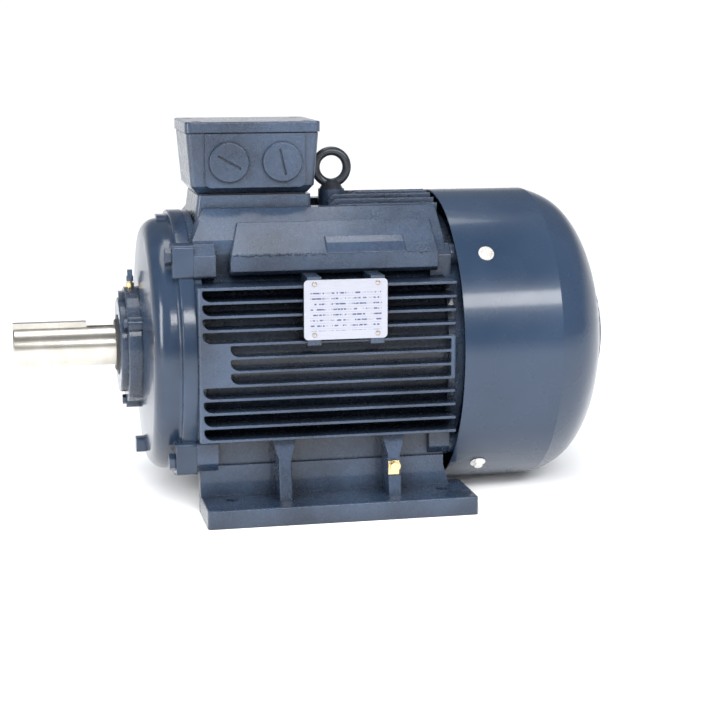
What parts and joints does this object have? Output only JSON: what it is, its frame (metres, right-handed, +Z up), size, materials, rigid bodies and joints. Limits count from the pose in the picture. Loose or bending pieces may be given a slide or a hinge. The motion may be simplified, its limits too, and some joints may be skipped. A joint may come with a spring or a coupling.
{
  "type": "electric motor",
  "caption": "Foot-mounted, totally enclosed, fan-cooled cast-iron induction motor with a keyed shaft, top terminal box, lifting eye and domed fan cover.",
  "frame": {"origin": "centre of the four foot holes, on the base plane that the feet rest on", "axes": "+Z up; X along the shaft axis, with the shaft extension pointing to -X and the fan cover to +X; -Y is the side with the cable entries and the rating plate"},
  "size_m": [0.8963, 0.466, 0.561],
  "materials": {
    "bearing_brass": "machined brass",
    "bearing_steel": "polished bearing steel",
    "black_steel": "black finish on forged steel, semi-gloss",
    "board_resin": "moulded resin",
    "brass": "bright brass",
    "cap_plastic": "soft plastic, overpainted",
    "cast_aluminium": "pressure-cast aluminium",
    "casting_paint": "blue-grey enamel over sand-cast iron, satin",
    "cover_paint": "blue-grey paint on pressed steel, semi-gloss",
    "fan_plastic": "moulded reinforced plastic",
    "ground_steel": "ground bright steel with a thin oil film",
    "lamination_steel": "stacked electrical sheet",
    "lead_insulation": "insulated lead",
    "machined_iron": "machined grey iron",
    "plate_metal": "brushed stainless sheet",
    "rivet_metal": "plain drive rivet",
    "seal_rubber": "black nitrile rubber",
    "shield_paint": "blue-grey enamel, glossy",
    "spring_steel": "oiled spring steel",
    "winding_varnish": "varnished enamelled copper",
    "zinc_steel": "bright zinc plate"
  },
  "bodies": {
    "stator": {"box_screws": "zinc_steel", "drain_plugs": "zinc_steel", "drive_bearing_outer_race": "bearing_steel", "drive_cap_bolts": "casting_paint", "drive_end_shield": "shield_paint", "drive_inner_bearing_cap": "machined_iron", "drive_outer_bearing_cap": "casting_paint", "drive_shield_bolts": "casting_paint", "entry_plug_drive_side": "casting_paint", "entry_plug_fan_side": "casting_paint", "eyebolt": "black_steel", "fan_cover": "cover_paint", "fan_cover_screws": "zinc_steel", "fan_cover_washers": "zinc_steel", "fan_end_bearing_outer_race": "bearing_steel", "fan_end_cap_bolts": "zinc_steel", "fan_end_inner_bearing_cap": "machined_iron", "fan_end_outer_bearing_cap": "casting_paint", "fan_end_shield": "casting_paint", "fan_end_shield_bolts": "zinc_steel", "grease_nipple": "brass", "grease_nipple_cap": "cap_plastic", "ground_bolt": "brass", "ground_clamp": "brass", "lid_gasket": "seal_rubber", "lid_screws": "zinc_steel", "nameplate": "plate_metal", "nameplate_rivets": "rivet_metal", "neck_gasket": "seal_rubber", "plug_seal_rings": "seal_rubber", "preload_spring": "spring_steel", "stator_core": "lamination_steel", "stator_frame": "casting_paint", "stator_winding": "winding_varnish", "terminal_board": "board_resin", "terminal_box": "casting_paint", "terminal_box_lid": "casting_paint", "terminal_links": "brass", "terminal_nuts": "brass", "terminal_studs": "brass", "winding_leads": "lead_insulation"},
    "rotor": {"shaft": "ground_steel", "shaft_key": "ground_steel", "rotor_core": "lamination_steel", "rotor_cage": "cast_aluminium", "cooling_fan": "fan_plastic", "fan_key": "spring_steel", "fan_snap_ring": "spring_steel", "drive_bearing_inner_race": "bearing_steel", "fan_end_bearing_inner_race": "bearing_steel", "drive_v_ring": "seal_rubber", "fan_end_v_ring": "seal_rubber"},
    "drive_ball_cage": {"drive_bearing_balls": "bearing_steel", "drive_bearing_cage": "bearing_brass"},
    "fan_end_ball_cage": {"fan_end_bearing_balls": "bearing_steel", "fan_end_bearing_cage": "bearing_brass"}
  },
  "joints": [
    {"name": "rotor_spin", "type": "hinge", "parent": "stator", "child": "rotor", "pos_m": [0, 0, 0.2286], "axis": [1, 0, 0], "continuous": true},
    {"name": "drive_cage_spin", "type": "hinge", "parent": "stator", "child": "drive_ball_cage", "pos_m": [-0.2405, 0, 0.2286], "axis": [1, 0, 0], "continuous": true},
    {"name": "fan_end_cage_spin", "type": "hinge", "parent": "stator", "child": "fan_end_ball_cage", "pos_m": [0.2225, 0, 0.2286], "axis": [1, 0, 0], "continuous": true}
  ],
  "couplings": [
    {"joint": "drive_cage_spin", "follows": "rotor_spin", "ratio": 0.38078},
    {"joint": "fan_end_cage_spin", "follows": "rotor_spin", "ratio": 0.38078}
  ]
}
